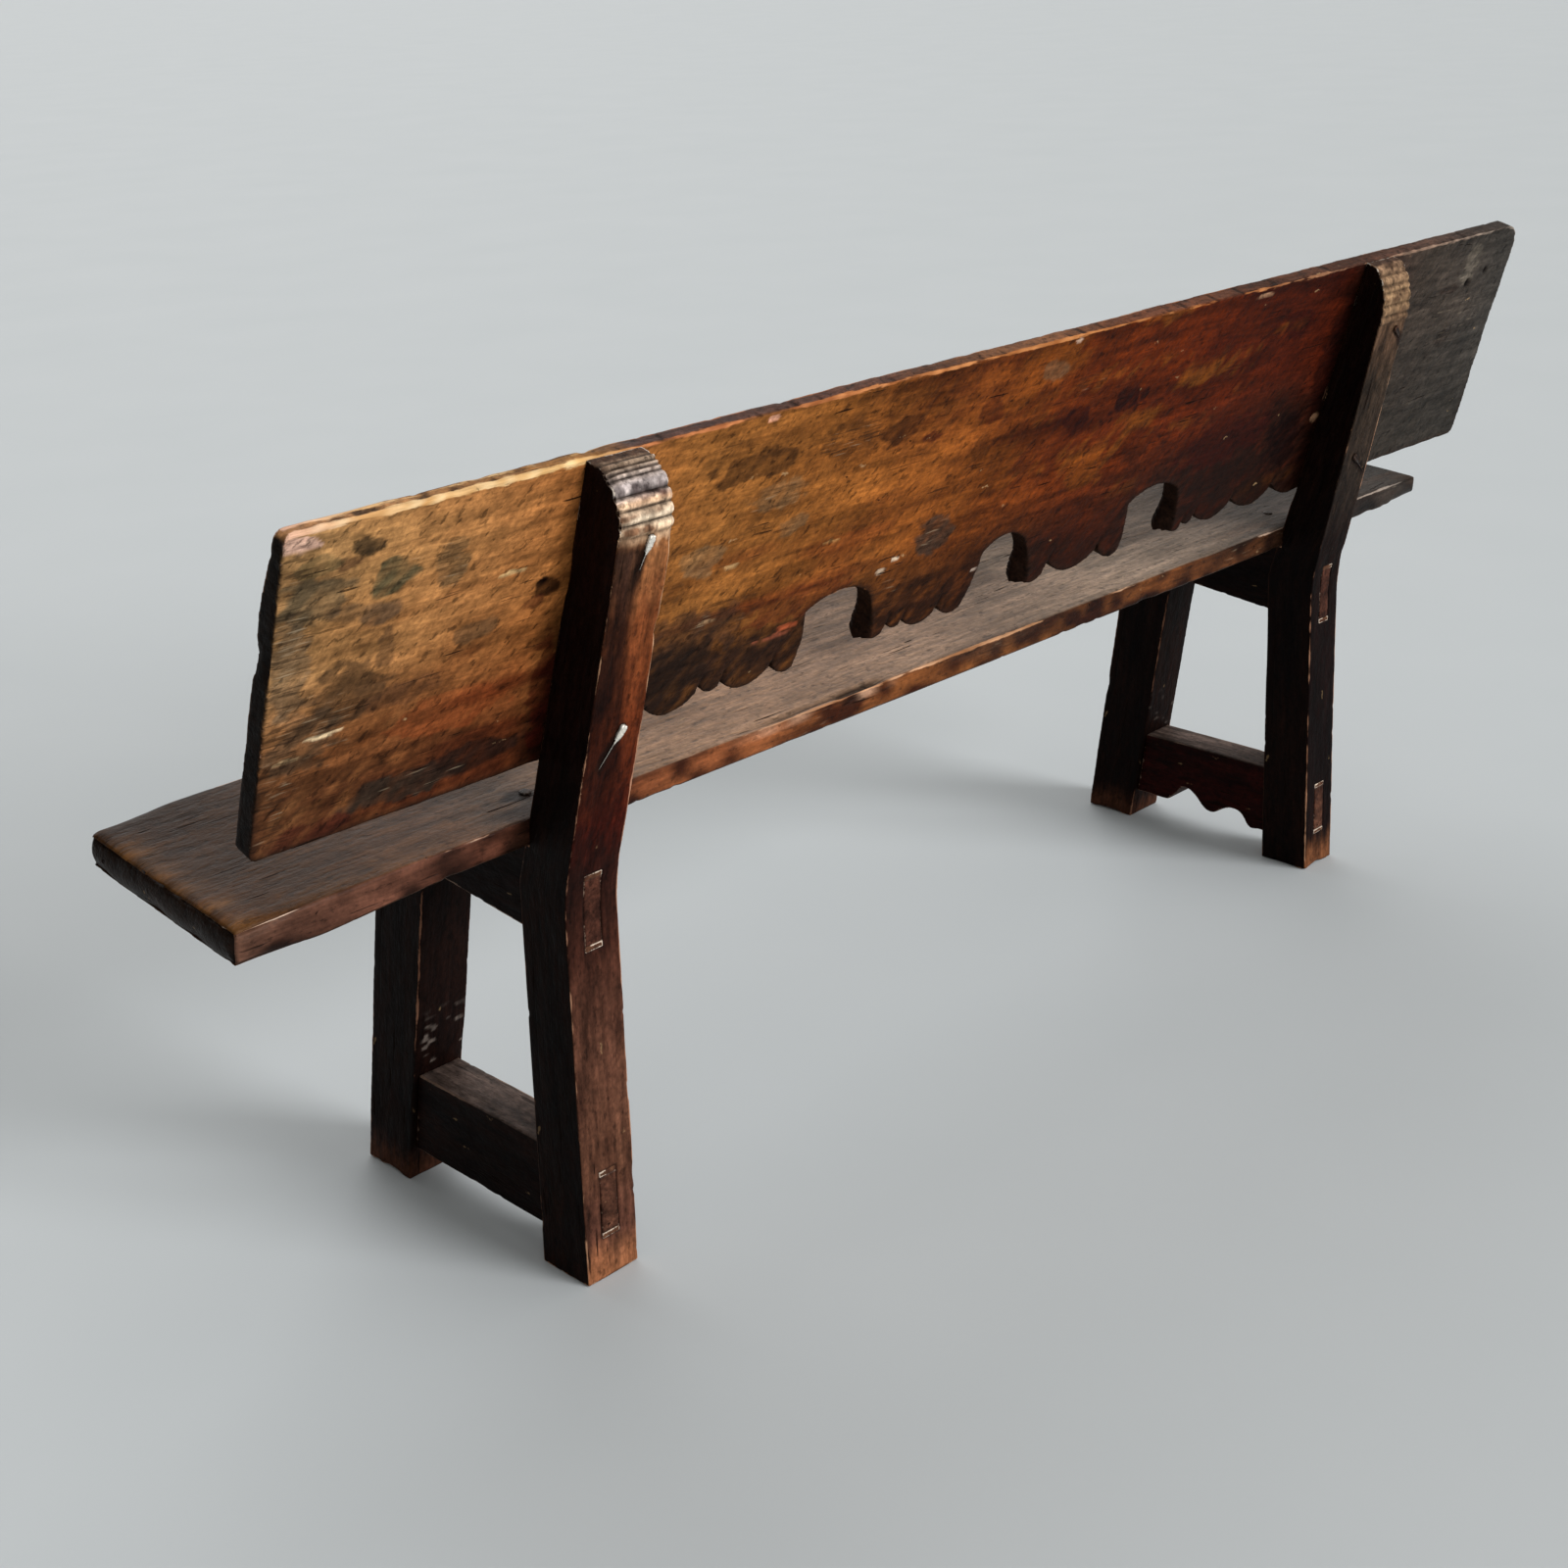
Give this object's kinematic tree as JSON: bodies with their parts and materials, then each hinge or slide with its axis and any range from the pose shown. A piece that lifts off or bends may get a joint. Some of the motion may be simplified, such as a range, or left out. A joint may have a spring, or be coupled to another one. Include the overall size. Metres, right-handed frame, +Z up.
{
  "type": "plank bench",
  "caption": "Long rustic plank bench: a leaning plank back with an arched, lobed lower edge and a tilted plank seat on mortised end frames.",
  "frame": {"origin": "on the floor, under the middle of the bench's overall box", "axes": "+X along the bench, to the right as seen from the front; +Y from front to back; +Z up; a sitter faces -Y"},
  "size_m": [1.8832, 0.4362, 0.7895],
  "materials": {
    "seat_wood": "worn, greyed and waxed by use",
    "back_wood": "hewn, stained and waxed, worn on the arrises",
    "frame_wood": "dark stained and waxed, worn on the arrises",
    "wedge_wood": "pale, bare end grain",
    "nail_iron": "forged, dark and lightly rusted"
  },
  "bodies": {
    "root": {"seat_plank": "seat_wood", "back_plank": "back_wood", "right_rear_post": "frame_wood", "left_rear_post": "frame_wood", "right_front_leg": "frame_wood", "left_front_leg": "frame_wood", "right_seat_bearer": "frame_wood", "left_seat_bearer": "frame_wood", "right_stretcher": "frame_wood", "left_stretcher": "frame_wood", "right_tenon_wedges": "wedge_wood", "left_tenon_wedges": "wedge_wood", "back_nails": "nail_iron", "seat_nails": "nail_iron"}
  },
  "joints": []
}
